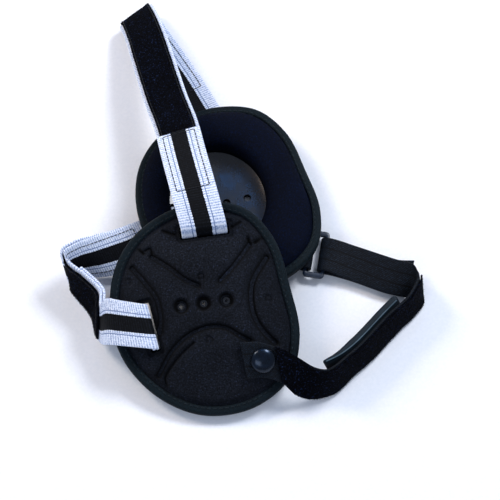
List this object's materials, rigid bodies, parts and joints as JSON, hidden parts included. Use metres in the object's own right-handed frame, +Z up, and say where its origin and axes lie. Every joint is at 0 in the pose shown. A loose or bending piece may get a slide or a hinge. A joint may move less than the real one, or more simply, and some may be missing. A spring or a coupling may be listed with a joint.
{
  "type": "wrestling ear guard",
  "caption": "Padded wrestling headgear with two vented ear cups joined by crown, back and chin straps, lying on its side.",
  "frame": {"origin": "on the flat of the left cup's outer face, where it rests on the table", "axes": "+Z up from the table, +Y from the right cup towards the crown strap's fold, +X towards the chin strap"},
  "size_m": [0.2023, 0.2625, 0.0494],
  "materials": {
    "foam_fabric": "matt knitted fabric bonded to moulded foam",
    "lining_fabric": "brushed matt lining",
    "edge_tape": "woven tape",
    "hard_plastic": "smooth moulded",
    "white_webbing": "ribbed woven webbing with black bands",
    "black_pile": "looped pile",
    "dark_webbing": "woven webbing",
    "foam_pad": "smooth closed-cell foam",
    "lacquered_metal": "gloss black"
  },
  "bodies": {
    "root": {"right_cup_cover": "foam_fabric", "right_cup_shell": "hard_plastic", "right_cup_pad": "lining_fabric", "right_cup_binding": "edge_tape", "left_cup_cover": "foam_fabric", "left_cup_shell": "hard_plastic", "left_cup_pad": "lining_fabric", "left_cup_binding": "edge_tape", "crown_strap": "white_webbing", "crown_pile": "black_pile", "crown_tail": "white_webbing", "back_strap": "white_webbing", "back_pile": "black_pile", "back_outer_tail": "white_webbing", "back_inner_tail": "white_webbing", "chin_strap": "dark_webbing", "chin_pile": "black_pile", "chin_pad": "foam_pad", "buckle_tab": "dark_webbing", "buckle": "hard_plastic", "snap_cap": "lacquered_metal"}
  },
  "joints": []
}
